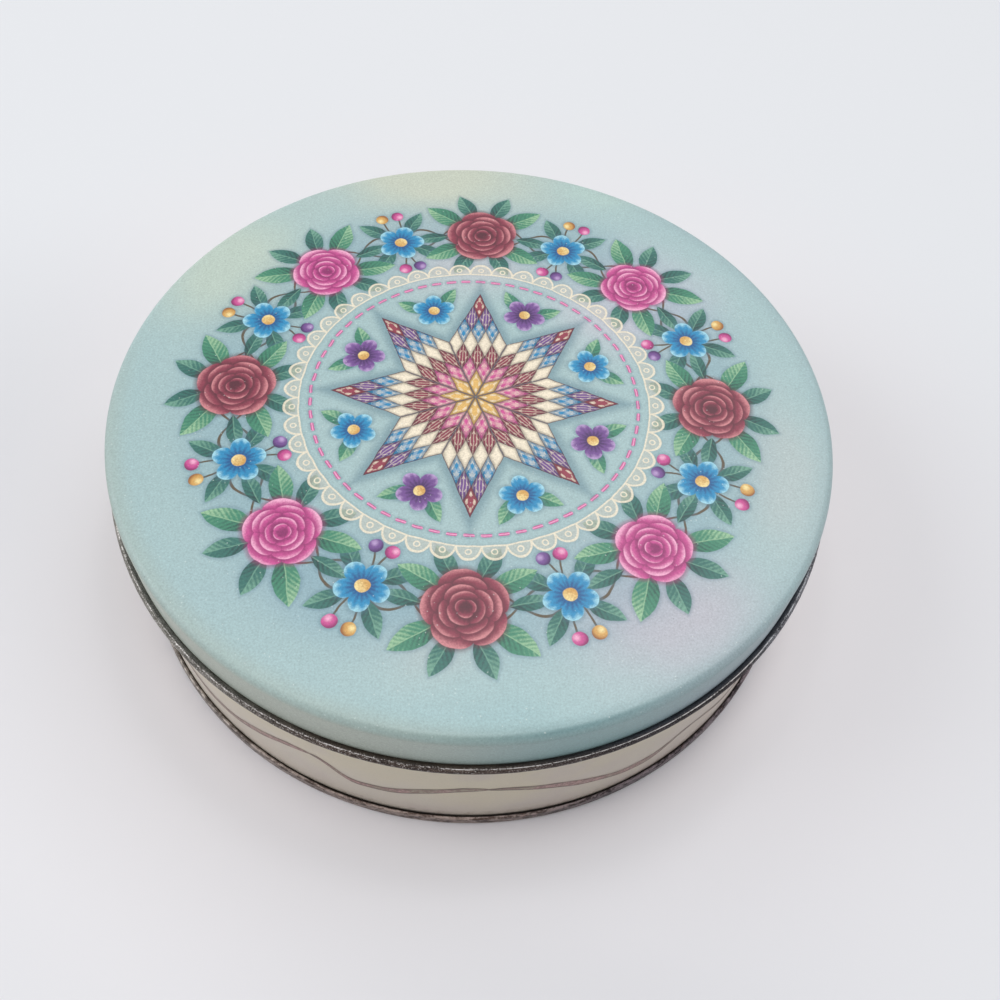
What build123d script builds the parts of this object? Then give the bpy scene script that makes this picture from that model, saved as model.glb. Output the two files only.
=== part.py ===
"""A round sewing tin of folded tinplate: a wall, a seamed-on base and a slip-on lid.

Millimetres, +Z up. The origin is the centre of the foot ring, on the surface that the tin stands
on. The back of the tin, where the wall's side seam is, faces +Y.

Each piece is one sheet of tinplate. Its section is drawn as the middle line of the sheet, in
(radius, height), given the sheet's thickness and spun about the tin's axis.
"""

from build123d import *

import os
from math import cos, sin

# Driving dimensions.
SHEET = 0.3                  # tinplate thickness
LID_RADIUS = 82.9            # outside of the lid's skirt
TIN_HEIGHT = 49.1            # from the table to the top of the closed lid
LID_DEPTH = 13.2             # from the lid's top to the bottom of its curl
LID_CORNER_RADIUS = 1.9      # outside, between the lid's top and its skirt
LID_CURL_DIAMETER = 2.0      # outward bead along the skirt's edge
RIM_CURL_DIAMETER = 2.8      # inward bead along the top edge of the wall
SLIP_GAP = 0.2               # between the lid's skirt and the wall, on the radius
REST_GAP = 0.05              # between the lid's panel and the rim that it sits on
FOLD_GAP = 0.06              # between the layers that are pressed together in a seam

FOOT_SEAM_HEIGHT = 3.3       # the double seam of wall and base
FLOOR_HEIGHT = 3.45          # inside floor of the tin
COUNTERSINK_HEIGHT = 4.55    # top of the groove just inside the foot seam
COUNTERSINK_WIDTH = 3.2
EXPANSION_RING_RADIUS = 58.0
EXPANSION_RING_WIDTH = 5.0
EXPANSION_RING_HEIGHT = 0.7
PANEL_SLOPE = 1.1            # how far in or out a step of the base panel runs
PANEL_BEND = 0.8             # bends of the base panel, along the sheet's middle
FOOT_BEND = 0.55             # bends under the foot ring, which leave it a narrow flat

SIDE_SEAM_HALF_WIDTH = 2.0   # from the middle of the side seam to the bend of each hook

# Sizes that follow.
HALF = SHEET / 2
LAYER = SHEET + FOLD_GAP                     # from one sheet of a seam to the next
TIGHT_BEND = 0.95 * LAYER                    # a sheet folded back around one other sheet
HOOK_END_GAP = SHEET                         # from a hook's end to the fold that holds it
WALL_RADIUS = LID_RADIUS - SHEET - SLIP_GAP  # outside of the wall
RIM_HEIGHT = TIN_HEIGHT - SHEET - REST_GAP   # top of the wall's rim curl

# The middle lines of the upright sheets of the foot seam, from the inside out.
CHUCK_WALL = WALL_RADIUS - HALF - LAYER
WALL = WALL_RADIUS - HALF
BASE_HOOK = WALL + LAYER
WALL_HOOK = WALL + 2 * LAYER
SEAM_COVER = WALL + 3 * LAYER

# The stretch of wall that has the side seam: clear of the countersink and of the rim curl.
SIDE_SEAM_BOTTOM = COUNTERSINK_HEIGHT + SHEET
SIDE_SEAM_TOP = RIM_HEIGHT - RIM_CURL_DIAMETER - SHEET
SIDE_SEAM_LENGTH = SIDE_SEAM_TOP - SIDE_SEAM_BOTTOM


def spun(*lines):
    """The sheet whose section follows these lines, end to end, spun about the tin's axis."""
    middle_line = Wire([edge for line in lines for edge in line.edges()])
    section = trace(middle_line, line_width=SHEET)
    return revolve(Plane.XZ * section, Axis.Z)


def make_lid():
    """A drawn cap: flat top, soft corner, skirt, and the skirt's edge curled outward."""
    skirt = LID_RADIUS - HALF
    curl_radius = LID_CURL_DIAMETER / 2 - HALF
    curl_height = TIN_HEIGHT - LID_DEPTH + LID_CURL_DIAMETER / 2
    cap = FilletPolyline(
        (0, TIN_HEIGHT - HALF),
        (skirt, TIN_HEIGHT - HALF),
        (skirt, curl_height),
        radius=LID_CORNER_RADIUS - HALF,
    )
    # The bead turns under, out and back over until it almost meets the skirt again.
    curl = CenterArc((skirt + curl_radius, curl_height), curl_radius, start_angle=180, arc_size=310)
    return spun(cap, curl)


def make_wall_shell():
    """The rolled wall: inward rim curl, cylinder, and the hook turned out and up at its foot."""
    curl_radius = RIM_CURL_DIAMETER / 2 - HALF
    curl_height = RIM_HEIGHT - RIM_CURL_DIAMETER / 2
    foot_height = HALF + LAYER
    hook_end = FOOT_SEAM_HEIGHT - SHEET - HOOK_END_GAP
    curl = CenterArc((WALL - curl_radius, curl_height), curl_radius, start_angle=0, arc_size=300)
    cylinder = FilletPolyline(
        (WALL, curl_height),
        (WALL, foot_height),
        (WALL_HOOK, foot_height),
        (WALL_HOOK, hook_end),
        radius=TIGHT_BEND,
    )
    return spun(curl, cylinder)


def at_back(along, depth):
    """The plan point at a distance along the wall from the back, and a depth under its face."""
    radius = WALL_RADIUS - depth
    angle = along / WALL_RADIUS
    return (radius * sin(angle), radius * cos(angle))


def side_seam_sheet(*points, radius):
    """One of the two sheets hooked together in the side seam, from its section in plan."""
    middle_line = FilletPolyline(*[at_back(*point) for point in points], radius=radius)
    section = trace(middle_line, line_width=SHEET)
    return extrude(Pos(Z=SIDE_SEAM_BOTTOM) * section, SIDE_SEAM_LENGTH)


def make_body_wall():
    """The wall, with its two ends hooked into each other in a flat lock seam at the back."""
    first, second, third, fourth = (HALF + LAYER * layer for layer in range(4))
    bend = SIDE_SEAM_HALF_WIDTH + TIGHT_BEND
    hook_end = SIDE_SEAM_HALF_WIDTH - HOOK_END_GAP
    step_bottom = bend + SHEET
    step_top = step_bottom + 2 * SHEET
    joined = step_top + 3 * SHEET
    # One end of the sheet lies flush with the outside and folds back under itself.
    outer_hook = side_seam_sheet(
        (0, first),
        (bend, first),
        (bend, third),
        (-hook_end, third),
        radius=TIGHT_BEND,
    )
    # The other end steps down inside, passes under both and folds back between them.
    inner_hook = side_seam_sheet(
        (joined, first),
        (step_top, first),
        (step_bottom, fourth),
        (-bend, fourth),
        (-bend, second),
        (hook_end, second),
        radius=[SHEET, SHEET, TIGHT_BEND, TIGHT_BEND],
    )
    # The gap between the two ends, cut through the shell before they are added.
    gap_start, _ = at_back(SIDE_SEAM_HALF_WIDTH, 0)
    gap_end, _ = at_back(step_top + HALF, 0)
    gap = Box(gap_end - gap_start, 3 * SHEET, SIDE_SEAM_LENGTH)
    gap_centre = Pos((gap_start + gap_end) / 2, WALL, SIDE_SEAM_BOTTOM + SIDE_SEAM_LENGTH / 2)
    return make_wall_shell() - gap_centre * gap + outer_hook + inner_hook


def make_base_panel():
    """The stamped end: panel, expansion ring, countersink, and the hook around the wall's hook."""
    panel = FLOOR_HEIGHT - HALF
    ring = panel + EXPANSION_RING_HEIGHT
    ring_inner = EXPANSION_RING_RADIUS - EXPANSION_RING_WIDTH / 2
    ring_outer = EXPANSION_RING_RADIUS + EXPANSION_RING_WIDTH / 2
    countersink = COUNTERSINK_HEIGHT - HALF
    countersink_inner = CHUCK_WALL - COUNTERSINK_WIDTH
    seam_top = FOOT_SEAM_HEIGHT - HALF
    hook_end = SHEET + LAYER + HOOK_END_GAP
    return spun(
        FilletPolyline(
            (0, panel),
            (ring_inner, panel),
            (ring_inner + PANEL_SLOPE, ring),
            (ring_outer - PANEL_SLOPE, ring),
            (ring_outer, panel),
            (countersink_inner - PANEL_SLOPE, panel),
            (countersink_inner, countersink),
            (CHUCK_WALL, countersink),
            (CHUCK_WALL, HALF),
            (SEAM_COVER, HALF),
            (SEAM_COVER, seam_top),
            (BASE_HOOK, seam_top),
            (BASE_HOOK, hook_end),
            radius=[PANEL_BEND] * 7 + [FOOT_BEND] * 2 + [TIGHT_BEND] * 2,
        )
    )


os.makedirs("parts", exist_ok=True)
export_step(make_lid(), "parts/lid.step")
export_step(make_body_wall(), "parts/body_wall.step")
export_step(make_base_panel(), "parts/base_panel.step")
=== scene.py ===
"""The look of a round sewing tin: printed lid, cream wall with a ribbon line, worn bare metal."""

from math import cos, pi, radians, sin, tau

import bpy
from mathutils import Matrix, Vector


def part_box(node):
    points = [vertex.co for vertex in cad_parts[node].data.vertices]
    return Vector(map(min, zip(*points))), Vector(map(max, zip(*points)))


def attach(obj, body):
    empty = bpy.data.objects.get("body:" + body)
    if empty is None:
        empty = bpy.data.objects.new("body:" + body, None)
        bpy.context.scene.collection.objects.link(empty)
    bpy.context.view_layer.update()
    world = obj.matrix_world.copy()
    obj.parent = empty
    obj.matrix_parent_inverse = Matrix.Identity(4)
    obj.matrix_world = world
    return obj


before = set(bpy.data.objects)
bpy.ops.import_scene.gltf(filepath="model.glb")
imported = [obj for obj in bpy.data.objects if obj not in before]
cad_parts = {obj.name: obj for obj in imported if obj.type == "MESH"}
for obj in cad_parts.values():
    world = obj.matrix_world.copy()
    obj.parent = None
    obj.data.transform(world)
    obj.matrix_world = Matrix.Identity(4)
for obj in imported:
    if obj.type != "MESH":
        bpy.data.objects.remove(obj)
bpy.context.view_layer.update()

MM = 0.001               # lengths below are in millimetres where nothing else is said

# Sizes read off the CAD parts in model.glb.
LID_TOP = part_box("lid")[1][2] / MM
LID_BEAD_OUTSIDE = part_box("lid")[1][0] / MM
LID_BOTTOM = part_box("lid")[0][2] / MM
WALL_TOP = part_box("body_wall")[1][2] / MM
SEAM_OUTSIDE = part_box("base_panel")[1][0] / MM

# The lid: the bead rolled outwards at its foot, the skirt above it, and the corner.
BEAD_RADIUS = 1.0
BEAD_CENTRE = LID_BEAD_OUTSIDE - BEAD_RADIUS
BEAD_HEIGHT = LID_BOTTOM + BEAD_RADIUS
BEAD_STAND = 1.7         # how far the bead stands out past the skirt
SKIRT_RADIUS = LID_BEAD_OUTSIDE - BEAD_STAND
CORNER_RADIUS = 1.9
COAT = 0.02              # thickness of the ink and varnish on the tinplate
COAT_FOOT = BEAD_HEIGHT + BEAD_RADIUS * 0.73     # where the coat meets the bead

# The wall, and the folded seams at its foot and at its back.
WALL_RADIUS = 82.4
SHEET = 0.3
SEAM_TOP = 3.3
SIDE_SEAM_HALF_WIDTH = 2.0

# The camera, held close above the front of the tin.
SENSOR_MM = 36
LENS_MM = 35.65
AIM_HEIGHT = 0.020               # metres above the table, of a point on the tin's axis
CAMERA_DISTANCE = 0.2532         # metres from that point
CAMERA_ELEVATION = 54.19         # degrees above the table
CAMERA_YAW = 1.69                # degrees, by which it is then turned off that point
CAMERA_PITCH = 1.62
CAMERA_ROLL = -2.65

# The studio.
FLOOR_SIZE = 6.0                 # metres
WORLD_LIGHT = 0.30               # what the world sheds on the object
WORLD_SEEN = 0.90                # and how bright it looks behind it and in its metal
# Faint shadows painted on the floor: each one's place and reach in millimetres, and its strength.
PAINTED_FLOOR_SHADOWS = (
    ((-130, 10), 120, 0.14),
    ((25, -135), 100, 0.13),
)
LAMP_SIZE = 1.2                  # metres across
# Each lamp's place, in metres, and its power in watts.
LAMPS = {
    "overhead": ((0.0, 0.07, 2.0), 16.4),
    "left": ((-1.64, 0.0, 1.15), 11.7),
    "back_right": ((0.66, 0.66, 1.77), 9.6),
}


# --- Fields: what a material's nodes work out at each point of a surface --------------------------


def srgb(red, green, blue):
    """The linear colour of an sRGB colour whose parts run from 0 to 255."""
    def linear(part):
        part /= 255
        if part <= 0.04045:
            return part / 12.92
        return ((part + 0.055) / 1.055) ** 2.4
    return (linear(red), linear(green), linear(blue), 1.0)


class Field:
    """A number at each point of a surface, with ordinary arithmetic."""

    def __init__(self, paint, socket):
        self.paint = paint
        self.socket = socket

    def math(self, operation, *others):
        node = self.paint.node("ShaderNodeMath", operation=operation)
        for place, value in zip(node.inputs, (self, *others)):
            self.paint.connect(value, place)
        return Field(self.paint, node.outputs[0])

    def __add__(self, other):
        return self.math("ADD", other)

    def __sub__(self, other):
        return self.math("SUBTRACT", other)

    def __mul__(self, other):
        return self.math("MULTIPLY", other)

    def __truediv__(self, other):
        return self.math("DIVIDE", other)

    def __pow__(self, other):
        return self.math("POWER", other)

    def __mod__(self, other):
        return self.math("FLOORED_MODULO", other)

    def abs(self):
        return self.math("ABSOLUTE")

    def cos(self):
        return self.math("COSINE")

    def sin(self):
        return self.math("SINE")

    def floor(self):
        return self.math("FLOOR")

    def least(self, other):
        return self.math("MINIMUM", other)

    def most(self, other):
        return self.math("MAXIMUM", other)

    def length(self, other):
        return (self * self + other * other) ** 0.5

    def angle(self, other):
        """The angle of the point (self, other) about the origin, in radians."""
        return other.math("ARCTAN2", self)

    def rise(self, low, high):
        """0 up to the low value, 1 from the high one, and a smooth rise between."""
        node = self.paint.node("ShaderNodeMapRange", interpolation_type="SMOOTHSTEP")
        self.paint.connect(self, node.inputs["Value"])
        if low < high:
            ends = (low, high, 0.0, 1.0)
        else:
            ends = (high, low, 1.0, 0.0)
        for name, value in zip(("From Min", "From Max", "To Min", "To Max"), ends):
            node.inputs[name].default_value = value
        return Field(self.paint, node.outputs["Result"])

    def near(self, value, reach):
        """1 where the field is at the value, falling smoothly to 0 this far from it."""
        return (self - value).abs().rise(reach, 0.0)


class Paint:
    """One material: its nodes, its shader, and the place of a point on the tin in millimetres."""

    def __init__(self, name):
        self.material = bpy.data.materials.new(name)
        self.material.use_nodes = True
        self.tree = self.material.node_tree
        self.shader = self.tree.nodes["Principled BSDF"]
        coordinates = self.node("ShaderNodeTexCoord")
        scaled = self.node("ShaderNodeVectorMath", operation="SCALE")
        self.tree.links.new(coordinates.outputs["Object"], scaled.inputs[0])
        scaled.inputs["Scale"].default_value = 1 / MM
        self.place = scaled.outputs[0]
        self.x, self.y, self.z = self.split(self.place)

    def node(self, kind, **settings):
        node = self.tree.nodes.new(kind)
        for name, value in settings.items():
            setattr(node, name, value)
        return node

    def connect(self, value, place):
        if isinstance(value, Field):
            value = value.socket
        if isinstance(value, bpy.types.NodeSocket):
            self.tree.links.new(value, place)
        else:
            place.default_value = value

    def split(self, vector):
        node = self.node("ShaderNodeSeparateXYZ")
        self.tree.links.new(vector, node.inputs[0])
        return [Field(self, output) for output in node.outputs]

    def join(self, x, y, z=0.0):
        node = self.node("ShaderNodeCombineXYZ")
        for value, place in zip((x, y, z), node.inputs):
            self.connect(value, place)
        return node.outputs[0]

    def mix(self, amount, first, second):
        """The first colour where the amount is 0, the second where it is 1."""
        node = self.node("ShaderNodeMix", data_type="RGBA")
        self.connect(amount, node.inputs["Factor"])
        colours = [socket for socket in node.inputs if socket.type == "RGBA"]
        self.connect(first, colours[0])
        self.connect(second, colours[1])
        return next(socket for socket in node.outputs if socket.type == "RGBA")

    def scale(self, colour, amount):
        """A colour made lighter or darker by a factor."""
        node = self.node("ShaderNodeVectorMath", operation="SCALE")
        self.connect(colour, node.inputs[0])
        self.connect(amount, node.inputs["Scale"])
        return node.outputs[0]

    def noise(self, size, vector=None, detail=2.0, roughness=0.5, colour=False):
        """Cloudy noise from 0 to 1 whose blotches are about this large."""
        node = self.node("ShaderNodeTexNoise")
        self.tree.links.new(self.place if vector is None else vector, node.inputs["Vector"])
        node.inputs["Scale"].default_value = 1 / size
        node.inputs["Detail"].default_value = detail
        node.inputs["Roughness"].default_value = roughness
        if colour:
            return node.outputs["Color"]
        return Field(self, node.outputs["Fac"])

    def specks(self, spacing, radius, share, vector=None):
        """Small round specks: one in each cell of this spacing, in a share of the cells."""
        node = self.node("ShaderNodeTexVoronoi")
        self.tree.links.new(self.place if vector is None else vector, node.inputs["Vector"])
        node.inputs["Scale"].default_value = 1 / spacing
        chance = self.split(node.outputs["Color"])[0]
        distance = Field(self, node.outputs["Distance"]) * spacing
        return distance.rise(radius, radius * 0.4) * chance.rise(share * 1.02, share)

    def warp(self, size, reach):
        """The place of a point, pushed about by noise: for edges drawn by hand."""
        noise = self.noise(size, colour=True)
        centred = self.node("ShaderNodeVectorMath", operation="SUBTRACT")
        self.tree.links.new(noise, centred.inputs[0])
        centred.inputs[1].default_value = (0.5, 0.5, 0.5)
        pushed = self.node("ShaderNodeVectorMath", operation="MULTIPLY_ADD")
        self.tree.links.new(centred.outputs[0], pushed.inputs[0])
        pushed.inputs[1].default_value = (reach, reach, reach)
        self.tree.links.new(self.place, pushed.inputs[2])
        return pushed.outputs[0]

    def chance(self, number):
        """A number from 0 to 1 that is the same wherever the given one is."""
        node = self.node("ShaderNodeTexWhiteNoise", noise_dimensions="1D")
        self.connect(number, node.inputs["W"])
        return Field(self, node.outputs["Value"])

    def finish(self, colour, roughness, metallic=None, height=None, depth=0.02):
        """Joins the fields to the shader. Height is a bump field whose whole range is this deep."""
        self.connect(colour, self.shader.inputs["Base Color"])
        self.connect(roughness, self.shader.inputs["Roughness"])
        if metallic is not None:
            self.connect(metallic, self.shader.inputs["Metallic"])
        if height is not None:
            bump = self.node("ShaderNodeBump")
            self.connect(height, bump.inputs["Height"])
            bump.inputs["Distance"].default_value = depth * MM
            self.tree.links.new(bump.outputs["Normal"], self.shader.inputs["Normal"])
        return self.material


# --- The lid's print: an eight-point patchwork star in a wreath of roses --------------------------

STAR_RADIUS = 33.5
STAR_POINTS = 8
PATCHES = 4                      # along each side of one of the star's diamonds
STITCH_RING = 37.8
STITCHES = 64
LACE_RING = 40.4
SCALLOPS = 48
WREATH_RADIUS = 55.0
ROSES = 8
ROSE_RADIUS = 9.2
BLOSSOM_RADIUS = 6.0
SMALL_BLOSSOM_RADIUS = 5.2
# A rose's rings of petals, from the outside in: size, number of petals, and turn in radians.
PETAL_RINGS = ((1.0, 5, 0.0), (0.8, 5, 0.9), (0.61, 4, 0.3), (0.43, 3, 1.2), (0.24, 3, 0.1))

# Inks, dark to light.
PLUM = (srgb(78, 22, 40), srgb(134, 52, 72), srgb(204, 132, 138))
PINK = (srgb(134, 36, 98), srgb(198, 78, 144), srgb(240, 172, 204))
TURQUOISE = (srgb(16, 84, 138), srgb(38, 138, 186), srgb(160, 212, 228))
GREEN = (srgb(24, 74, 66), srgb(62, 130, 104), srgb(150, 190, 152))
DEEP_GREEN = (srgb(20, 58, 60), srgb(46, 104, 96), srgb(112, 160, 140))
GOLD = (srgb(146, 90, 44), srgb(208, 160, 88), srgb(244, 222, 158))
PURPLE = (srgb(66, 36, 92), srgb(112, 74, 140), srgb(180, 152, 200))
CREAM = srgb(240, 228, 204)
BARK = srgb(88, 76, 58)
HAZE = srgb(74, 112, 130)        # the soft shade that things painted on the ground cast on it

# The star's cloths, from its centre to its tips.
CLOTHS = (
    srgb(222, 180, 106),
    srgb(200, 82, 144),
    srgb(130, 48, 68),
    srgb(236, 224, 202),
    srgb(36, 130, 178),
    srgb(106, 70, 134),
    srgb(142, 56, 74),
)

# The airbrushed ground: clouds of colour laid on aqua. Each has its place, its reach across and
# back, its colour and its strength.
AQUA = srgb(164, 190, 192)
CLOUD_DEPTH = 1000               # so deep that a cloud is as strong on the skirt as on the top
CLOUDS = (
    ((-15, 80), (75, 45), srgb(194, 201, 186), 1.0),
    ((-62, 40), (44, 52), srgb(187, 202, 190), 0.9),
    ((36, 76), (36, 20), srgb(180, 204, 196), 0.7),
    ((38, 34), (40, 38), srgb(198, 197, 206), 1.0),
    ((-4, 46), (42, 24), srgb(197, 198, 202), 0.9),
    ((68, -16), (26, 50), srgb(178, 190, 190), 0.8),
    ((40, -54), (48, 34), srgb(182, 183, 192), 1.0),
    ((-24, -52), (58, 26), srgb(152, 180, 188), 0.8),
    ((-6, -63), (26, 15), srgb(184, 194, 192), 0.7),
    ((0, -84), (80, 20), srgb(151, 183, 187), 0.8),
    ((-72, -18), (24, 46), srgb(162, 188, 190), 0.6),
)


def fold(x, y, copies, turned=0.0):
    """Folds a ring of equal sectors into one, whose middle line is the first axis.

    Returns the place along and across that axis, and the sector's number.
    """
    turn = x.angle(y) * (copies / tau) - turned
    number = (turn + 0.5).floor()
    within = (turn - number) * (tau / copies)
    radius = x.length(y)
    return radius * within.cos(), radius * within.sin(), number % copies


def shades(paint, tones, amount):
    """One of three inks, from the dark one at 0 through the middle one to the light one at 1."""
    lower = paint.mix(amount.rise(0.0, 0.5), tones[0], tones[1])
    return paint.mix(amount.rise(0.5, 1.0), lower, tones[2])


def either(paint, choice, first, second):
    """The tones of the first ink where the choice is 0, of the second where it is 1."""
    return [paint.mix(choice, one, other) for one, other in zip(first, second)]


def ground(paint, place):
    """The airbrushed ground of the lid."""
    colour = AQUA
    for (x, y), (across, back), tint, strength in CLOUDS:
        cloud = paint.node("ShaderNodeMapping", vector_type="TEXTURE")
        paint.tree.links.new(place, cloud.inputs["Vector"])
        cloud.inputs["Location"].default_value = (x, y, LID_TOP)
        cloud.inputs["Scale"].default_value = (across, back, CLOUD_DEPTH)
        ball = paint.node("ShaderNodeTexGradient", gradient_type="QUADRATIC_SPHERE")
        paint.tree.links.new(cloud.outputs[0], ball.inputs["Vector"])
        amount = Field(paint, ball.outputs["Fac"]).rise(0.0, 0.75) * strength
        colour = paint.mix(amount, colour, tint)
    return colour


def rose(paint, under, u, v, radius, tones, turned):
    """A full rose seen from above: rings of overlapping petals, each darker towards its heart."""
    distance = u.length(v)
    angle = u.angle(v) + turned
    for size, petals, start in PETAL_RINGS:
        lobe = (angle * (petals / 2) + start).cos().abs() ** 0.55
        edge = (lobe * 0.17 + 0.83) * radius * size
        gap = distance - edge
        under = paint.mix(gap.rise(1.4, -0.1) * 0.6, under, tones[0])
        share = distance / edge
        side = (angle + size * 9).cos() * 0.10
        light = share ** 3.2 * (lobe * 0.8 + 0.2) + side + paint.strokes * 0.35
        under = paint.mix(gap.rise(0.12, -0.12), under, shades(paint, tones, light))
    return under


def blossom(paint, under, u, v, radius, tones, turned):
    """A small open flower of five petals round a gold eye."""
    distance = u.length(v)
    angle = u.angle(v) + turned
    lobe = (angle * 2.5).cos().abs() ** 0.7
    edge = (lobe * 0.42 + 0.58) * radius
    gap = distance - edge
    under = paint.mix(gap.rise(1.4, -0.1) * 0.4, under, HAZE)
    vein = (angle * 17.5).cos() * 0.09
    light = (distance / edge) ** 2 * (lobe * 0.6 + 0.4) + vein + paint.strokes * 0.3
    under = paint.mix(gap.rise(0.12, -0.12), under, shades(paint, tones, light))
    eye = radius * 0.26
    under = paint.mix(distance.rise(eye * 1.7, eye * 0.9) * 0.7, under, tones[0])
    shine = (u - v) * (0.5 / radius) + paint.strokes * 0.6 + 0.7
    return paint.mix(distance.rise(eye + 0.12, eye - 0.12), under, shades(paint, GOLD, shine))


def leaf(paint, under, u, v, centre, heading, length, width, tones):
    """A pointed leaf with a pale midrib and slanting veins, darker towards its stalk."""
    turn = radians(heading)
    right = u - centre[0]
    ahead = v - centre[1]
    along = right * cos(turn) + ahead * sin(turn)
    across = ahead * cos(turn) - right * sin(turn)
    share = along * (2 / length)
    edge = (share * share * -1 + 1) * (width / 2) - across.abs()
    under = paint.mix(edge.rise(-1.2, 0.2) * 0.4, under, HAZE)
    veins = ((along - across.abs() * 1.1) * 4.6).sin() * 0.10
    side = across.rise(-0.15, 0.15) * 0.30
    light = share * 0.32 + 0.34 + veins + side + paint.strokes * 0.4
    body = shades(paint, tones, light)
    body = paint.mix(across.abs().rise(0.20, 0.06) * 0.7, body, tones[2])
    return paint.mix(edge.rise(-0.1, 0.12), under, body)


def stalk(paint, under, u, v, start, end, bow, colour):
    """A thin stalk from one point to another, bowed sideways by this much."""
    reach = Vector(end) - Vector(start)
    ahead = reach.normalized()
    right = u - start[0]
    up = v - start[1]
    along = right * ahead.x + up * ahead.y
    on_it = along.most(0.0).least(reach.length)
    share = on_it * (2 / reach.length) - 1
    across = up * ahead.x - right * ahead.y - (share * share * -1 + 1) * bow
    return paint.mix(across.length(along - on_it).rise(0.32, 0.14), under, colour)


def berry(paint, under, u, v, centre, radius, tones):
    """A round berry with a soft highlight."""
    right = u - centre[0]
    ahead = v - centre[1]
    distance = right.length(ahead)
    under = paint.mix(distance.rise(radius + 1.1, radius - 0.2) * 0.45, under, HAZE)
    shine = (right + radius * 0.3).length(ahead - radius * 0.35)
    light = shine * (-0.75 / radius) + 1.05
    return paint.mix(distance.rise(radius + 0.1, radius - 0.1), under, shades(paint, tones, light))


def stitches(paint, under, x, y, radius, count, width, thread):
    """A ring of running stitches."""
    pitch = tau * radius / count
    turn = x.angle(y) * (count / tau)
    along = ((turn + 0.5) % 1.0 - 0.5).abs() * pitch
    off = (x.length(y) - radius).abs()
    past = (along - (pitch * 0.33 - width / 2)).most(0.0)
    gap = past.length(off) - width / 2
    under = paint.mix(gap.rise(0.8, 0.0) * 0.35, under, HAZE)
    light = off * (-1.2 / width) + 0.95
    return paint.mix(gap.rise(0.08, -0.08), under, shades(paint, thread, light))


def lace(paint, under, x, y):
    """A lace edging: a corded ring, scallops that stand out from it, and an eyelet in each."""
    along, across, _ = fold(x, y, SCALLOPS)
    out = along - LACE_RING
    half = pi * LACE_RING / SCALLOPS
    bow = (out * 0.8).length(across) - half
    cord = bow.abs().rise(0.34, 0.14) * out.rise(-0.2, 0.1)
    ring = out.abs().rise(0.30, 0.12)
    eyelet = ((out - half * 0.55).length(across) - 0.62).abs().rise(0.26, 0.10)
    veil = bow.rise(0.1, -0.3) * out.rise(-0.1, 0.2) * 0.30
    thread = cord.most(ring).most(eyelet)
    shade = bow.rise(1.3, -0.2) * out.rise(-1.0, 0.2) * 0.28
    under = paint.mix(shade, under, HAZE)
    return paint.mix((thread * 0.85).most(veil), under, CREAM)


def cloth_of(paint, ring):
    """The colour of the cloth in each ring of the star's patches."""
    cloths = paint.node("ShaderNodeValToRGB")
    cloths.color_ramp.interpolation = "CONSTANT"
    stops = cloths.color_ramp.elements
    stops.remove(stops[1])
    for number, colour in enumerate(CLOTHS):
        stop = stops[0] if number == 0 else stops.new(number / len(CLOTHS))
        stop.color = colour
    paint.connect((ring + 0.5) / len(CLOTHS), cloths.inputs["Fac"])
    return cloths.outputs["Color"]


def printed(paint, cloth, ring, a, b):
    """Prints the cloth in a paler tone. Dots, checks and stripes take turns from ring to ring."""
    kind = ring % 3.0
    dot_a = (a * 2) % 1.0 - 0.5
    dot_b = (b * 2) % 1.0 - 0.5
    dots = dot_a.length(dot_b).rise(0.30, 0.18) * kind.near(0.0, 0.5)
    rows = (a * (2 * tau)).sin().rise(-0.2, 0.2)
    columns = (b * (2 * tau)).sin().rise(-0.2, 0.2)
    checks = (rows + columns) * 0.34 * kind.near(1.0, 0.5)
    stripes = ((a - b) * (2.5 * tau)).cos().rise(0.3, 0.7) * 0.65 * kind.near(2.0, 0.5)
    pale = paint.mix(0.65, cloth, CREAM)
    return paint.mix(dots * 0.9 + checks + stripes, cloth, pale)


def star(paint, under, x, y):
    """The patchwork star: diamonds pieced from small ones, in another cloth for each ring."""
    half_turn = pi / STAR_POINTS
    along, across, _ = fold(x, y, STAR_POINTS)
    middle = STAR_RADIUS / 2
    edge = ((along - middle).abs() * -1 + middle) * sin(half_turn) - across.abs() * cos(half_turn)
    under = paint.mix(edge.rise(-3.0, 0.0) * 0.55, under, HAZE)

    # The place within a patch, from 0 to 1 along each of its sides, and the distance to its seam.
    side = STAR_RADIUS / (2 * cos(half_turn))
    patch = side / PATCHES
    reach = along * (0.5 / (cos(half_turn) * patch))
    lean = across * (0.5 / (sin(half_turn) * patch))
    first = reach + lean
    second = reach - lean
    ring = first.floor() + second.floor()
    a = first % 1.0
    b = second % 1.0
    seam = (a.least(a * -1 + 1)).least(b.least(b * -1 + 1)) * (patch * sin(2 * half_turn))
    cloth = printed(paint, cloth_of(paint, ring), ring, a, b)

    # Each patch is padded: darkest along its seams, and lit from the back left.
    lit = (a - b) * 0.10 + paint.strokes * 0.30 + seam.rise(0.0, 1.0) * 0.46 + 0.56
    cloth = paint.scale(cloth, lit)
    cloth = paint.mix(seam.rise(0.17, 0.02) * 0.6, cloth, srgb(60, 24, 42))
    inside = (seam - 0.66).abs().rise(0.19, 0.08)
    dashes = ((a + b) * (2.5 * tau)).sin().rise(-0.1, 0.2)
    cloth = paint.mix(inside * dashes * 0.45, cloth, CREAM)
    cloth = paint.mix(edge.rise(0.34, 0.06) * 0.85, cloth, srgb(66, 26, 44))
    return paint.mix(edge.rise(-0.06, 0.10), under, cloth)


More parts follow.
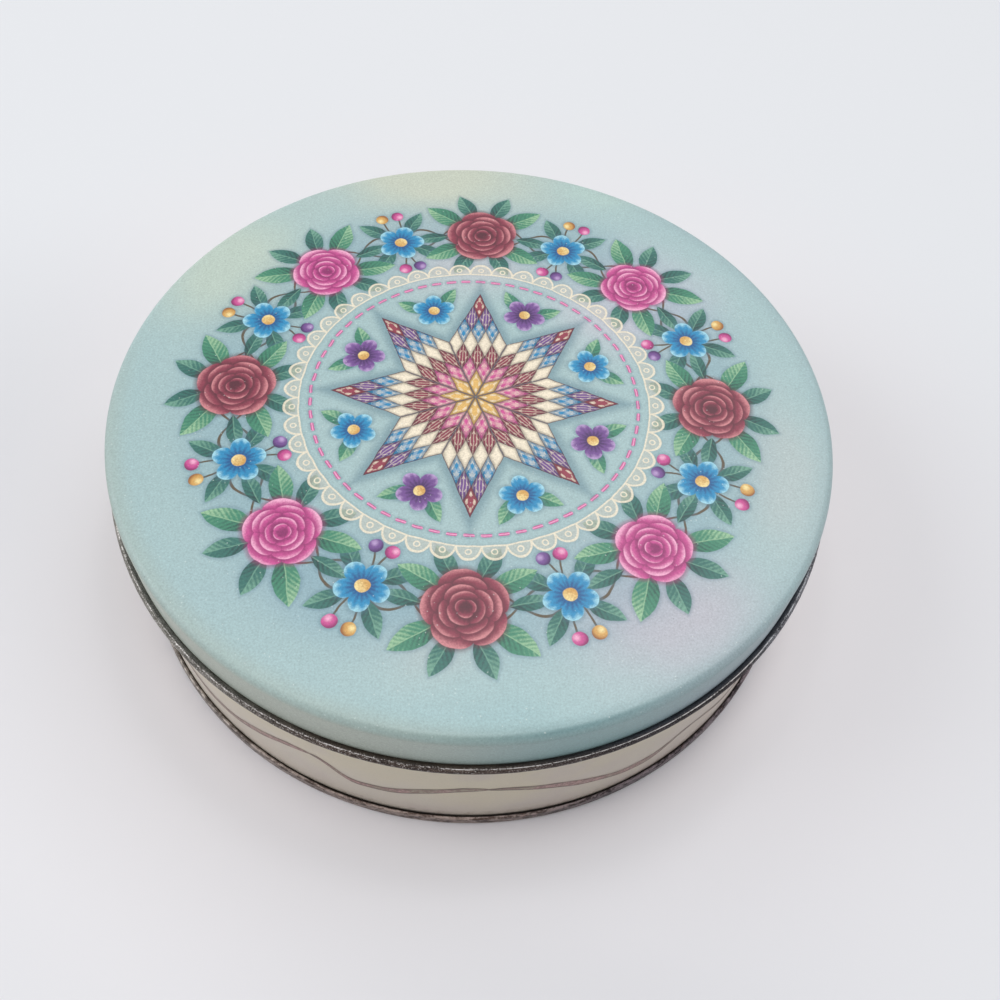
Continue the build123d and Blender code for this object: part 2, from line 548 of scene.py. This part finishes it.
def wreath(paint, under, x, y):
    """The wreath: two twining stems, leaves, berries, blossoms and roses, sector by sector."""
    distance = x.length(y)
    band = (distance - WREATH_RADIUS).abs().rise(18.0, 2.0)
    under = paint.mix(band * 0.45, under, srgb(122, 158, 174))
    swing = (x.angle(y) * (ROSES * 2)).sin() * 3.4
    for stem in (distance - swing - WREATH_RADIUS, distance + swing - WREATH_RADIUS):
        under = paint.mix(stem.abs().rise(0.46, 0.22), under, BARK)

    # What stands beside and behind each blossom, halfway between the roses.
    along, beside, count = fold(x, y, ROSES, turned=0.5)
    out = along - WREATH_RADIUS
    mirrored = beside.abs()
    right_side = beside.rise(-0.01, 0.01)
    for place, tones in (((9.8, 2.1), either(paint, right_side, PINK, GOLD)),
                         ((-9.6, 1.9), either(paint, right_side, PURPLE, PINK))):
        under = stalk(paint, under, out, mirrored, (0, 0), place, 0.6, BARK)
        under = berry(paint, under, out, mirrored, place, 1.6, tones)
    for centre, heading in (((5.8, 5.2), 44), ((-5.2, 5.6), 134)):
        under = leaf(paint, under, out, mirrored, centre, heading, 9.4, 4.0, DEEP_GREEN)

    # The leaves round each rose, lighter ones over darker ones.
    along, across, number = fold(x, y, ROSES)
    u = along - WREATH_RADIUS
    mirrored = across.abs()
    for centre, heading, length, width, tones in (
        ((-1.9, 13.2), 104, 9.5, 3.6, DEEP_GREEN),
        ((10.6, 4.4), 26, 10.0, 4.6, DEEP_GREEN),
        ((-10.2, 4.5), 152, 9.6, 4.4, DEEP_GREEN),
        ((6.4, 9.8), 58, 12.5, 5.6, GREEN),
        ((-6.6, 9.2), 120, 12.0, 5.2, GREEN),
    ):
        under = leaf(paint, under, u, mirrored, centre, heading, length, width, tones)

    spin = paint.chance(count + 3.3) * tau
    under = blossom(paint, under, out, beside, BLOSSOM_RADIUS, TURQUOISE, spin)
    spin = paint.chance(number + 0.7) * tau
    plum_or_pink = number % 2.0
    tones = either(paint, plum_or_pink, PLUM, PINK)
    return rose(paint, under, u, across, plum_or_pink * -0.8 + ROSE_RADIUS, tones, spin)


def heart(paint, under, x, y):
    """Small blossoms with leaves between the star's points, inside a stitched ring and its lace."""
    under = lace(paint, under, x, y)
    under = stitches(paint, under, x, y, STITCH_RING, STITCHES, 0.75, PINK)
    along, across, number = fold(x, y, STAR_POINTS, turned=0.5)
    u = along - STAR_RADIUS * 0.87
    under = leaf(paint, under, u, across.abs(), (2.6, 4.4), 48, 8.4, 3.6, GREEN)
    spin = paint.chance(number + 8.1) * tau
    tones = either(paint, number % 2.0, TURQUOISE, PURPLE)
    return blossom(paint, under, u, across, SMALL_BLOSSOM_RADIUS, tones, spin)


def skirt_light_and_shade(paint, colour):
    """Painted light and shade on the skirt: lighter and greyer at the left of the front, darker
    teal to its right, and a pool of paler blue-grey painted light low down at its right.
    """
    down = paint.z.rise(LID_TOP - 0.1, LID_TOP - CORNER_RADIUS)
    # Painted light at the front left of the skirt, and painted shade at its front right.
    painted_skirt_light = (paint.x + 46).length(paint.y + 62).rise(94, 26)
    painted_skirt_shade = (paint.x - 38).length(paint.y + 72).rise(46, 14)
    # Painted light: a paler pool low on the skirt at the front right.
    pale = (paint.x - 62).length(paint.y + 56).rise(40, 12)
    pale = pale * (paint.z.rise(LID_TOP - 3, LID_BOTTOM + 2) * 0.5 + 0.5)
    colour = paint.mix(down * painted_skirt_light * 0.9, colour, srgb(187, 193, 181))
    colour = paint.mix(down * painted_skirt_shade * 0.7, colour, srgb(138, 173, 175))
    return paint.mix(down * pale * 0.85, colour, srgb(172, 186, 194))


def edge_shade_and_tint(paint, colour, x, y):
    """Painted shade along the lid's corner at the front and along the edge of its top at the right,
    and a greyer, darker tint along that edge at the front left.
    """
    past_flat = paint.x.length(paint.y) - paint.z + (LID_TOP - SKIRT_RADIUS + CORNER_RADIUS)
    in_front = paint.x.near(16, 62) * paint.y.rise(0, -40)
    shade = paint.mix(paint.x.rise(-30, 20), srgb(120, 126, 120), srgb(92, 128, 132))
    # Painted shade in the corner where the top turns down, at the front.
    corner_shade = past_flat.near(1.2, 3.4) * 0.45 + past_flat.near(1.2, 1.4) * 0.25
    colour = paint.mix(corner_shade * in_front, colour, shade)
    # The edge of the top: painted shade at the right, and a greyer, darker tint at the front left.
    near_edge = x.length(y).rise(SKIRT_RADIUS - 6, SKIRT_RADIUS - 1)
    near_edge = near_edge * paint.z.rise(LID_TOP - 3, LID_TOP)
    colour = paint.mix(near_edge * x.rise(10, 60) * 0.35, colour, srgb(142, 164, 170))
    return paint.mix(near_edge * (x + y).rise(-50, -100) * 0.45, colour, srgb(164, 176, 166))


def make_lid_paint():
    """The lid's ink and varnish: airbrushed ground, print, painted light and shade on its corner
    and skirt, fine grain, a few specks and rubs.
    """
    paint = Paint("lid_print")
    # Brush strokes, which shift the tones of the flowers, the leaves and the star a little.
    paint.strokes = paint.noise(0.9, detail=3.0, roughness=0.7) - 0.5
    colour = ground(paint, paint.warp(24, 14))
    x, y, _ = paint.split(paint.warp(3.2, 0.5))
    colour = wreath(paint, colour, x, y)
    colour = heart(paint, colour, x, y)
    colour = star(paint, colour, x, y)
    colour = skirt_light_and_shade(paint, colour)
    colour = edge_shade_and_tint(paint, colour, x, y)

    grain = paint.noise(0.45, detail=2.0, roughness=0.8) - 0.5
    mottle = paint.noise(1.6, detail=2.0) - 0.5
    colour = paint.scale(colour, grain * 0.70 + mottle * 0.10 + 1.0)
    colour = paint.mix(paint.specks(2.6, 0.17, 0.12) * 0.5, colour, srgb(84, 98, 100))
    pale_specks = paint.specks(1.1, 0.20, 0.22, paint.warp(5, 2))
    colour = paint.mix(pale_specks * 0.40, colour, srgb(226, 234, 230))
    smear = paint.noise(17, detail=4.0, roughness=0.6)
    roughness = grain * 0.10 + smear * 0.18 + 0.36
    height = grain * 0.5 + mottle + 0.5
    return paint.finish(colour, roughness, height=height, depth=0.006)


# --- Bare metal and enamel ------------------------------------------------------------------------

BRIGHT_LEVEL = 67                # degrees up the bead from its outside, where its bright line lies: rubbed wear and a painted highlight


def tinplate(paint, clean, dull):
    """The colour, roughness and height of bare tinplate: rolled grain and clouds of dull tin."""
    drawn_out = paint.join(paint.x * 0.02, paint.y, paint.z)
    rolled = paint.noise(0.7, drawn_out, detail=2.0, roughness=0.6)
    clouds = paint.noise(9, detail=5.0, roughness=0.65)
    colour = paint.mix(clouds.rise(0.30, 0.75), clean, dull)
    colour = paint.scale(colour, rolled * 0.30 + 0.85)
    roughness = clouds * 0.14 + rolled * 0.12 + 0.20
    return colour, roughness, rolled


def left_to_right(paint, left, middle, right):
    """A colour that changes from the tin's left through its middle to its right."""
    colour = paint.mix(paint.x.rise(-20, -74), middle, left)
    return paint.mix(paint.x.rise(0, 42), colour, right)


def bead_grime_and_shade(paint, level, blotch, far_right):
    """The bead's handled metal: grey or brown outside, and very dark from its top inwards with
    painted shade and painted dark reflection.
    """
    grime = left_to_right(
        paint,
        paint.mix(blotch, srgb(90, 87, 81), srgb(160, 157, 151)),
        paint.mix(blotch, srgb(38, 29, 25), srgb(102, 87, 80)),
        paint.mix(blotch, srgb(20, 16, 18), srgb(66, 57, 60)),
    )
    grime = paint.mix(far_right, grime, paint.mix(blotch, srgb(44, 44, 50), srgb(128, 127, 134)))
    # Painted shade and dark reflection: the bead very dark from its top in towards the skirt.
    crevice_shade = left_to_right(
        paint,
        paint.mix(blotch, srgb(62, 62, 58), srgb(122, 122, 117)),
        paint.mix(blotch, srgb(30, 23, 18), srgb(62, 52, 43)),
        paint.mix(blotch, srgb(16, 20, 28), srgb(50, 54, 62)),
    )
    return paint.mix(level.rise(72, 82), grime, crevice_shade)


def make_lid_metal():
    """The lid's tinplate: its bright inside, and its bead, dark with handling and painted shade,
    with a bright line on top that is partly wear and partly a painted highlight.
    """
    paint = Paint("lid_metal")
    radius = paint.x.length(paint.y)
    turn = paint.x.angle(paint.y)
    colour, roughness, height = tinplate(paint, srgb(196, 193, 186), srgb(160, 156, 148))

    # How far up the bead a point is, in degrees from the bead's outside, and its place on the bead.
    level = (radius - BEAD_CENTRE).angle(paint.z - BEAD_HEIGHT) * (180 / pi)
    around = turn * SKIRT_RADIUS
    up = level * (BEAD_RADIUS * pi / 180)
    drawn_out = paint.join(around * 0.25, up, radius * 0.3)
    streaks = paint.noise(0.8, drawn_out, detail=4.0, roughness=0.75)
    fine = paint.noise(0.4, paint.join(around, up, radius), detail=3.0, roughness=0.8)
    far_right = paint.x.rise(58, 66)
    bead = bead_grime_and_shade(paint, level, (streaks + fine).rise(0.78, 1.22), far_right)

    # A bright line along the top of the bead, partly rubbed wear and partly a painted highlight of
    # the overhead lamp, thinner at the front, and bright flecks about it.
    right = paint.x.rise(-10, 40) - far_right
    off_line = (level + (streaks - 0.5) * 8 + right * 4 - BRIGHT_LEVEL).abs()
    off_line = off_line * (paint.x.near(16, 42) * 0.7 + 1)
    line = off_line.rise(9, 1) * (fine + streaks + right * 0.12).rise(0.92, 1.14)
    flecks = fine.rise(0.56, 0.66) * level.rise(100, 66) * (right * -0.75 + 1)
    bright = (line * 0.9).most(flecks * 0.65)
    bead = paint.mix(bright, bead, paint.mix(far_right, srgb(234, 231, 230), srgb(222, 223, 228)))

    on_bead = radius.rise(SKIRT_RADIUS - 0.15, SKIRT_RADIUS - 0.05)
    colour = paint.mix(on_bead, colour, bead)
    bead_rough = bright * -0.20 + streaks * 0.2 + 0.46
    roughness = roughness + (bead_rough - roughness) * on_bead
    metallic = on_bead * (bright * 0.6 - 0.95) + 1.0
    paint.shader.inputs["Specular IOR Level"].default_value = 0.25
    return paint.finish(colour, roughness, metallic, height + streaks, depth=0.03)


def cream_enamel(paint, turn):
    """The wall's enamel, cloudy and stained along the foot, with painted shade on its right: its
    colour, roughness and grain.
    """
    clouds = paint.noise(26, detail=3.0, roughness=0.6)
    grain = paint.noise(0.3, detail=2.0, roughness=0.6) - 0.5
    yellow = (clouds + paint.z * 0.02).rise(0.65, 1.05)
    colour = paint.mix(yellow, srgb(211, 201, 187), srgb(215, 204, 181))
    tint = paint.noise(15, paint.join(turn * WALL_RADIUS, paint.z, 7.0), detail=2.0)
    colour = paint.mix((tint + paint.x * 0.003).rise(0.42, 0.7) * 0.7, colour, srgb(207, 194, 185))
    # Painted shade: the wall darker on its right, above the foot.
    painted_wall_shade = paint.x.rise(10, 60) * paint.z.rise(10, 26)
    colour = paint.scale(colour, grain * 0.20 - painted_wall_shade * 0.08 + 1.0)
    low = paint.z.rise(SEAM_TOP + 3.2, SEAM_TOP)
    drips = paint.join(turn * WALL_RADIUS, paint.z * 0.5)
    stain = paint.noise(2.2, drips, detail=4.0, roughness=0.7)
    colour = paint.mix(low * stain.rise(0.45, 0.75) * 0.5, colour, srgb(128, 104, 84))
    colour = paint.mix(paint.specks(2.9, 0.17, 0.09) * 0.6, colour, srgb(112, 92, 78))
    return colour, clouds * 0.14 + grain * 0.06 + 0.34, grain


def make_wall_paint():
    """The wall: cream enamel outside, bare tinplate inside, on the rim and along the side seam."""
    paint = Paint("wall_enamel")
    radius = paint.x.length(paint.y)
    turn = paint.x.angle(paint.y)
    metal, metal_rough, height = tinplate(paint, srgb(194, 191, 184), srgb(156, 152, 145))
    enamel, enamel_rough, grain = cream_enamel(paint, turn)

    # The enamel ends in a ragged edge at either side of the side seam and below the rolled rim.
    ragged = paint.noise(1.1, detail=3.0) * 0.7
    past_seam = paint.x.abs() - ragged - (SIDE_SEAM_HALF_WIDTH + 0.6)
    beside_seam = past_seam.rise(0.0, 0.25).most(paint.y.rise(0.0, -1.0))
    outside = radius.rise(WALL_RADIUS - SHEET * 0.5, WALL_RADIUS - SHEET * 0.4)
    below_rim = (paint.z + ragged).rise(WALL_TOP - 2.3, WALL_TOP - 2.8)
    painted = outside * below_rim * beside_seam
    colour = paint.mix(painted, metal, enamel)
    roughness = metal_rough + (enamel_rough - metal_rough) * painted
    height = height + grain + painted * 0.4
    return paint.finish(colour, roughness, painted * -1 + 1, height, depth=0.012)


def make_base_metal():
    """The base: dull tinplate below, with its foot seam tarnished and scuffed brown outside, and
    painted shade in the groove above it.
    """
    paint = Paint("base_metal")
    radius = paint.x.length(paint.y)
    turn = paint.x.angle(paint.y)
    colour, roughness, height = tinplate(paint, srgb(188, 184, 176), srgb(146, 140, 131))

    around = turn * SEAM_OUTSIDE
    drawn_out = paint.join(around * 0.2, paint.z, radius)
    streaks = paint.noise(1.1, drawn_out, detail=5.0, roughness=0.75)
    fine = paint.noise(0.9, paint.join(around * 0.6, paint.z, radius), detail=3.0, roughness=0.8)
    blotch = (streaks + fine * 1.3).rise(0.98, 1.32)
    tarnish = left_to_right(
        paint,
        paint.mix(blotch, srgb(96, 90, 86), srgb(170, 163, 156)),
        paint.mix(blotch, srgb(74, 59, 53), srgb(162, 146, 139)),
        paint.mix(blotch, srgb(38, 31, 35), srgb(120, 109, 114)),
    )
    rust = paint.noise(3.4, detail=4.0, roughness=0.7).rise(0.58, 0.74)
    tarnish = paint.mix(rust * 0.4, tarnish, srgb(104, 72, 56))
    # Painted shade: a very dark line in the groove between the wall and the seam, narrower at the
    # sides.
    narrow = paint.x.abs().rise(20, 60) * 0.35
    groove_shade = (radius + narrow).rise(WALL_RADIUS + 0.65, WALL_RADIUS + 0.45) * paint.z.rise(2.1, 2.5)
    tarnish = paint.mix(groove_shade * 0.95, tarnish, srgb(24, 17, 13))
    foot_line = paint.z.rise(0.6, 0.1)
    tarnish = paint.mix(foot_line * streaks.rise(0.4, 0.6) * 0.45, tarnish, srgb(190, 182, 174))

    on_seam = radius.rise(SEAM_OUTSIDE - 1.5, SEAM_OUTSIDE - 1.1)
    colour = paint.mix(on_seam, colour, tarnish)
    seam_rough = streaks * 0.25 + 0.34
    roughness = roughness + (seam_rough - roughness) * on_seam
    metallic = on_seam * -0.35 + 1.0
    return paint.finish(colour, roughness, metallic, height + streaks, depth=0.03)


# --- Pieces ---------------------------------------------------------------------------------------


def mesh_piece(name, points, faces, material):
    """A smooth mesh object whose points are in millimetres."""
    mesh = bpy.data.meshes.new(name)
    mesh.from_pydata([Vector(point) * MM for point in points], [], faces)
    mesh.materials.append(material)
    mesh.polygons.foreach_set("use_smooth", [True] * len(faces))
    piece = bpy.data.objects.new(name, mesh)
    bpy.context.scene.collection.objects.link(piece)
    return piece


def make_lid_coat(material):
    """The coat of ink and varnish on the outside of the lid, from its middle down to the bead."""
    steps = 360
    corner_steps = 12
    flat_edge = SKIRT_RADIUS - CORNER_RADIUS
    corner_foot = LID_TOP - CORNER_RADIUS
    corner = CORNER_RADIUS + COAT
    beside = 0.4         # from the corner to the rows that keep its shading off the flats
    profile = [(radius, LID_TOP + COAT) for radius in (12, 28, 44, 60, 72, flat_edge - beside)]
    for step in range(corner_steps + 1):
        angle = pi / 2 * (1 - step / corner_steps)
        profile.append((flat_edge + corner * cos(angle), corner_foot + corner * sin(angle)))
    for height in (corner_foot - beside, LID_TOP - 6, COAT_FOOT):
        profile.append((SKIRT_RADIUS + COAT, height))

    points = [(0, 0, LID_TOP + COAT)]
    for radius, height in profile:
        for step in range(steps):
            angle = tau * step / steps
            points.append((radius * cos(angle), radius * sin(angle), height))
    faces = [(0, 1 + step, 1 + (step + 1) % steps) for step in range(steps)]
    for row in range(len(profile) - 1):
        start = 1 + row * steps
        for step in range(steps):
            after = (step + 1) % steps
            faces.append((start + step, start + steps + step, start + steps + after, start + after))
    coat = mesh_piece("lid_coat", points, faces, material)
    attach(coat, "lid")


# Where the ribbon line on the wall turns: azimuth in degrees from the right, height and width. The
# line runs from one side of the bare strip at the side seam, behind, round to the other.
RIBBON_TURNS = (
    (-280, 20.8, 3.3), (-262, 13.6, 3.0), (-246, 20.6, 2.8), (-229, 14.0, 3.3), (-212, 21.0, 3.0),
    (-196, 13.4, 2.6), (-180, 20.4, 3.2), (-163, 13.8, 3.0), (-146, 20.6, 2.4), (-131, 12.6, 2.5),
    (-112.5, 21.4, 2.7), (-105, 14.2, 2.6), (-85.5, 20.6, 2.8), (-60, 11.4, 3.0), (-51, 16.2, 1.6),
    (-43, 13.4, 2.0), (-24, 20.8, 2.8), (-6, 13.6, 3.2), (12, 21.0, 3.0), (30, 13.2, 2.6),
    (47, 20.2, 3.2), (63, 14.2, 2.8), (80, 20.8, 3.3), (98, 13.6, 3.0),
)
RIBBON_START = -268
RIBBON_END = 88
RIBBON_STEP = 0.5                # degrees between the ribbon's points
RIBBON_THIN = 0.7                # its width where it turns over, at the top of each swing
RIBBON_CLOSING = 4.0             # degrees over which it narrows before it turns over
RIBBON_OPENING = 8.0             # and over which it widens again
RIBBON_STAND = 0.03              # how far it stands off the enamel
RIBBON_ROWS = (-0.5, -0.25, 0.0, 0.25, 0.5)      # its rows of points, in shares of its width


def ribbon_line():
    """The ribbon's azimuth, height and width at each of its points, round the wall."""
    line = []
    for (start, low, width), (end, high, next_width) in zip(RIBBON_TURNS, RIBBON_TURNS[1:]):
        count = round((end - start) / RIBBON_STEP)
        for step in range(count):
            share = step / count
            azimuth = start + (end - start) * share
            # A slight wobble, as in a line drawn by hand.
            wobble = 0.22 * sin(azimuth * 0.33) + 0.10 * sin(azimuth * 0.9)
            height = low + (high - low) * (1 - cos(pi * share)) / 2 + wobble
            before_crest = (end - azimuth) / RIBBON_CLOSING
            past_crest = (azimuth - start) / RIBBON_OPENING
            open_out = min(1, before_crest if high > low else past_crest) ** 0.7
            full = (width + (next_width - width) * share) * (1 + 0.12 * sin(azimuth * 0.5))
            if RIBBON_START <= azimuth <= RIBBON_END:
                line.append((azimuth, height, RIBBON_THIN + (full - RIBBON_THIN) * open_out))
    return line


def make_ribbon(material):
    """The ribbon line printed round the wall, a thin strip of ink on the enamel."""
    line = ribbon_line()
    radius = WALL_RADIUS + RIBBON_STAND
    points = []
    insets = []
    for azimuth, height, width in line:
        angle = radians(azimuth)
        for row in RIBBON_ROWS:
            points.append((radius * cos(angle), radius * sin(angle), height + row * width))
            insets.append((0.5 - abs(row)) * width)
    count = len(RIBBON_ROWS)
    faces = []
    for step in range(len(line) - 1):
        here = step * count
        there = here + count
        for row in range(count - 1):
            faces.append((here + row, there + row, there + row + 1, here + row + 1))
    ribbon = mesh_piece("wall_ribbon", points, faces, material)
    # How far each point is from the ribbon's nearer edge, which its ink takes its dark edges from.
    attribute = ribbon.data.attributes.new("inset", "FLOAT", "POINT")
    attribute.data.foreach_set("value", insets)
    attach(ribbon, "tin")


def make_ribbon_paint():
    """Dusty pink or grey-green ink between sketched brown edges, which meet where it turns over."""
    paint = Paint("ribbon_ink")
    attribute = paint.node("ShaderNodeAttribute", attribute_name="inset")
    inset = Field(paint, attribute.outputs["Fac"])
    angle = paint.x.angle(paint.y)
    flat = paint.join(angle * WALL_RADIUS, paint.z)
    blush = paint.noise(8, detail=1.0).rise(0.38, 0.56) * (paint.x.abs().rise(60, 30) * 0.7 + 0.3)
    marks = paint.noise(1.1, flat, detail=4.0, roughness=0.8)
    middle = paint.mix(blush, srgb(164, 152, 132), srgb(190, 152, 147))
    middle = paint.mix(marks.rise(0.40, 0.58) * 0.85, middle, srgb(126, 96, 90))
    firm = paint.noise(3.2, flat, detail=2.0).rise(0.40, 0.58)
    edges = (inset + (marks - 0.5) * 1.8).rise(0.75, 0.25) * (firm * 0.6 + 0.25)
    colour = paint.mix(edges, middle, srgb(98, 80, 70))
    return paint.finish(colour, marks * 0.1 + 0.38)


def dress(node, material):
    """Gives a CAD node its material."""
    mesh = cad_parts[node].data
    mesh.materials.clear()
    mesh.materials.append(material)


# --- Camera and studio ----------------------------------------------------------------------------


def make_camera():
    """Places the camera in front (-Y) of the tin, looking down at it."""
    data = bpy.data.cameras.new("camera")
    data.sensor_width = SENSOR_MM
    data.lens = LENS_MM
    camera = bpy.data.objects.new("camera", data)
    bpy.context.scene.collection.objects.link(camera)
    tilt = Matrix.Rotation(radians(90 - CAMERA_ELEVATION), 4, "X")
    back_off = Matrix.Translation((0, 0, CAMERA_DISTANCE))
    turned = (
        Matrix.Rotation(radians(-CAMERA_YAW), 4, "Y")
        @ Matrix.Rotation(radians(-CAMERA_PITCH), 4, "X")
        @ Matrix.Rotation(radians(-CAMERA_ROLL), 4, "Z")
    )
    camera.matrix_world = Matrix.Translation((0, 0, AIM_HEIGHT)) @ tilt @ back_off @ turned
    bpy.context.scene.camera = camera


def make_floor():
    """A pale floor, with painted shadows and painted light by the tin, that fades into the even
    white world far away.
    """
    paint = Paint("floor")
    distance = paint.x.length(paint.y)
    # Painted light: the floor slightly warmer near the tin.
    painted_light_near_tin = distance.rise(200, 90)
    colour = paint.mix(painted_light_near_tin, srgb(229, 231, 235), srgb(232, 230, 234))
    # Painted light: the floor paler by the front of the tin's foot, where its shadow falls.
    painted_light_at_foot = distance.rise(SEAM_OUTSIDE + 14, SEAM_OUTSIDE) * paint.y.rise(40, -20)
    colour = paint.mix(painted_light_at_foot, colour, srgb(246, 243, 247))
    # Painted shadows on the floor.
    for (x, y), reach, strength in PAINTED_FLOOR_SHADOWS:
        shade = (paint.x - x).length(paint.y - y).rise(reach, 0)
        colour = paint.mix(shade * strength, colour, srgb(110, 130, 140))
    far = distance.rise(450, 1600)
    colour = paint.mix(far, colour, srgb(0, 0, 0))
    paint.shader.inputs["Specular IOR Level"].default_value = 0.0
    paint.shader.inputs["Emission Color"].default_value = (1, 1, 1, 1)
    paint.connect(far * WORLD_SEEN, paint.shader.inputs["Emission Strength"])
    half = FLOOR_SIZE / 2 / MM
    corners = [(-half, -half, 0), (half, -half, 0), (half, half, 0), (-half, half, 0)]
    mesh_piece("floor", corners, [(0, 1, 2, 3)], paint.finish(colour, 0.9))


def make_world():
    """A white world that looks bright but sheds less light on the tin."""
    world = bpy.data.worlds.new("world")
    bpy.context.scene.world = world
    world.use_nodes = True
    tree = world.node_tree
    background = tree.nodes["Background"]
    background.inputs["Color"].default_value = (1, 1, 1, 1)
    ray = tree.nodes.new("ShaderNodeLightPath")
    seen = ray.outputs["Is Camera Ray"]
    for kind in ("Is Glossy Ray", "Is Transmission Ray"):
        either_ray = tree.nodes.new("ShaderNodeMath")
        either_ray.operation = "MAXIMUM"
        tree.links.new(seen, either_ray.inputs[0])
        tree.links.new(ray.outputs[kind], either_ray.inputs[1])
        seen = either_ray.outputs[0]
    level = tree.nodes.new("ShaderNodeMapRange")
    tree.links.new(seen, level.inputs["Value"])
    level.inputs["To Min"].default_value = WORLD_LIGHT
    level.inputs["To Max"].default_value = WORLD_SEEN
    tree.links.new(level.outputs["Result"], background.inputs["Strength"])


def make_lamps():
    """Three large soft lamps, each turned to the tin."""
    for name, (place, power) in LAMPS.items():
        data = bpy.data.lights.new(name, "AREA")
        data.energy = power
        data.size = LAMP_SIZE
        lamp = bpy.data.objects.new(name, data)
        bpy.context.scene.collection.objects.link(lamp)
        lamp.location = place
        lamp.rotation_euler = (-lamp.location).to_track_quat("-Z", "Y").to_euler()


dress("lid", make_lid_metal())
dress("body_wall", make_wall_paint())
dress("base_panel", make_base_metal())
make_lid_coat(make_lid_paint())
make_ribbon(make_ribbon_paint())
make_camera()
make_floor()
make_world()
make_lamps()
bpy.context.scene.view_settings.view_transform = "Standard"
